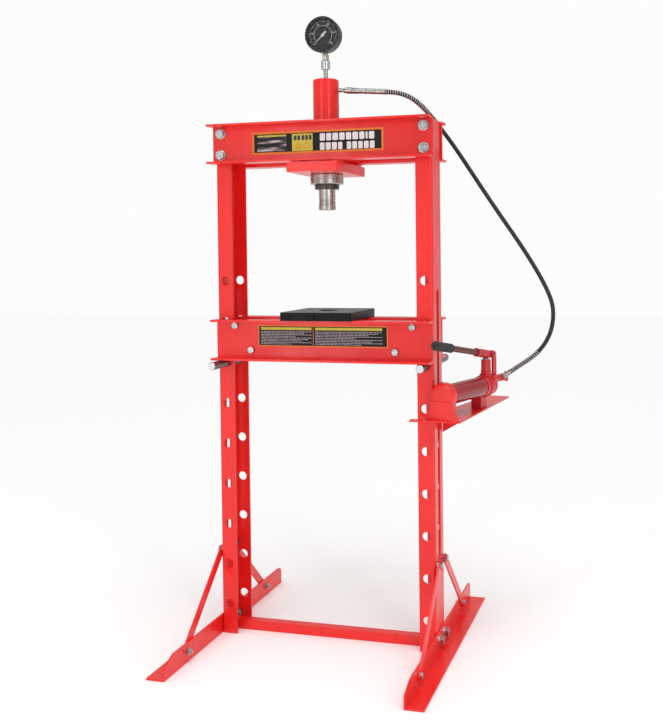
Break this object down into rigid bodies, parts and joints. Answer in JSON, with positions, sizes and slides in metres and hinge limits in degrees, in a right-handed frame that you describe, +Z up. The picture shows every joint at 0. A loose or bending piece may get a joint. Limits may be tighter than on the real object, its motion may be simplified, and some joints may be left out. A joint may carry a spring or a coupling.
{
  "type": "hydraulic shop press",
  "caption": "Red floor-standing H-frame hydraulic shop press with adjustable bed, arbor plates, ram cylinder, pressure gauge and a side hand pump on a hose.",
  "frame": {"origin": "on the floor under the ram's axis, midway between the posts", "axes": "+X to the operator's right, +Y to the back, +Z up along the ram's axis"},
  "size_m": [1.0198, 0.8, 1.81],
  "materials": {
    "red_paint": "gloss enamel",
    "dark_red_paint": "gloss enamel",
    "zinc_bolt": "zinc plated",
    "bright_steel": "turned",
    "dark_steel": "blackened",
    "black_plate": "satin",
    "spring_steel": "oiled",
    "seal_rubber": "matte",
    "zinc_fitting": "zinc plated",
    "chrome_coupling": "polished",
    "gauge_brass": "satin",
    "gauge_black": "semi-gloss",
    "dial_black": "matte",
    "dial_glass": "clear",
    "needle_white": "matte",
    "hose_rubber": "satin",
    "guard_black": "satin",
    "grip_rubber": "matte",
    "label_black": "satin"
  },
  "bodies": {
    "frame": {"left_post": "red_paint", "right_post": "red_paint", "head_front_channel": "red_paint", "head_rear_channel": "red_paint", "cylinder_plate": "red_paint", "cylinder_body": "red_paint", "left_foot": "red_paint", "right_foot": "red_paint", "braces": "red_paint", "tie_bar": "red_paint", "pump_bracket": "red_paint", "pump_front_cap": "dark_red_paint", "pump_reservoir": "dark_red_paint", "pump_rear_head": "dark_red_paint", "pump_barrel": "dark_red_paint", "frame_bolts": "zinc_bolt", "frame_nuts": "zinc_bolt", "frame_washers": "zinc_bolt", "brace_bolts": "zinc_bolt", "brace_nuts": "zinc_bolt", "brace_spacers": "zinc_bolt", "ring_nut": "bright_steel", "fulcrum_pin": "bright_steel", "gland_nut": "dark_steel", "return_spring": "spring_steel", "gauge_adapter": "zinc_fitting", "hose_nipple": "zinc_fitting", "hose_coupler": "zinc_fitting", "hose_ferrule": "zinc_fitting", "hose_fitting_lower": "zinc_fitting", "gauge_coupling": "chrome_coupling", "gauge_stem": "gauge_brass", "gauge_case": "gauge_black", "gauge_bezel": "gauge_black", "gauge_dial": "dial_black", "gauge_lens": "dial_glass", "hose": "hose_rubber", "hose_guard_upper": "guard_black", "hose_guard_lower": "guard_black", "head_label": "label_black"},
    "bed": {"bed_front_channel": "red_paint", "bed_rear_channel": "red_paint", "bed_bolts": "zinc_bolt", "bed_nuts": "zinc_bolt", "bed_spacers": "zinc_bolt", "arbor_plate_left": "black_plate", "arbor_plate_right": "black_plate", "bed_label": "label_black"},
    "ram": {"ram_rod": "bright_steel", "piston_seal": "seal_rubber", "ram_tip": "bright_steel"},
    "handle": {"handle_socket": "dark_red_paint", "handle_rod": "dark_red_paint", "handle_grip": "grip_rubber"},
    "plunger": {"pump_plunger": "bright_steel"},
    "valve": {"release_valve": "dark_red_paint"},
    "needle": {"gauge_needle": "needle_white"},
    "left_pin": {"pin_left": "dark_steel"},
    "right_pin": {"pin_right": "dark_steel"}
  },
  "joints": [
    {"name": "bed_lift", "type": "slide", "parent": "frame", "child": "bed", "axis": [0, 0, 1], "range_m": [0, 0.12]},
    {"name": "ram_slide", "type": "slide", "parent": "frame", "child": "ram", "axis": [0, 0, -1], "range_m": [0, 0.15], "stiffness_N_per_m": 2000, "springref_m": -0.05, "deforming": ["return_spring"]},
    {"name": "handle_pivot", "type": "hinge", "parent": "frame", "child": "handle", "pos_m": [0.4426, 0.18467, 0.8195], "axis": [-0.9537, 0.3007, 0], "range_deg": [0, 60]},
    {"name": "plunger_slide", "type": "slide", "parent": "frame", "child": "plunger", "axis": [0, 0, 1], "range_m": [0, 0.015]},
    {"name": "release_turn", "type": "hinge", "parent": "frame", "child": "valve", "pos_m": [0.37507, -0.09601, 0.748], "axis": [0.3007, 0.9537, 0], "range_deg": [0, 180]},
    {"name": "needle_turn", "type": "hinge", "parent": "frame", "child": "needle", "pos_m": [0, -0.022, 1.758], "axis": [0, 1, 0], "range_deg": [0, 270], "stiffness_Nm_per_rad": 0.002, "springref_deg": -17.19},
    {"name": "pin_left_pull", "type": "slide", "parent": "frame", "child": "left_pin", "axis": [0, -1, 0], "range_m": [0, 0.22]},
    {"name": "pin_right_pull", "type": "slide", "parent": "frame", "child": "right_pin", "axis": [0, -1, 0], "range_m": [0, 0.22]}
  ],
  "couplings": [
    {"joint": "plunger_slide", "follows": "handle_pivot", "m_per_rad": 0.014}
  ]
}
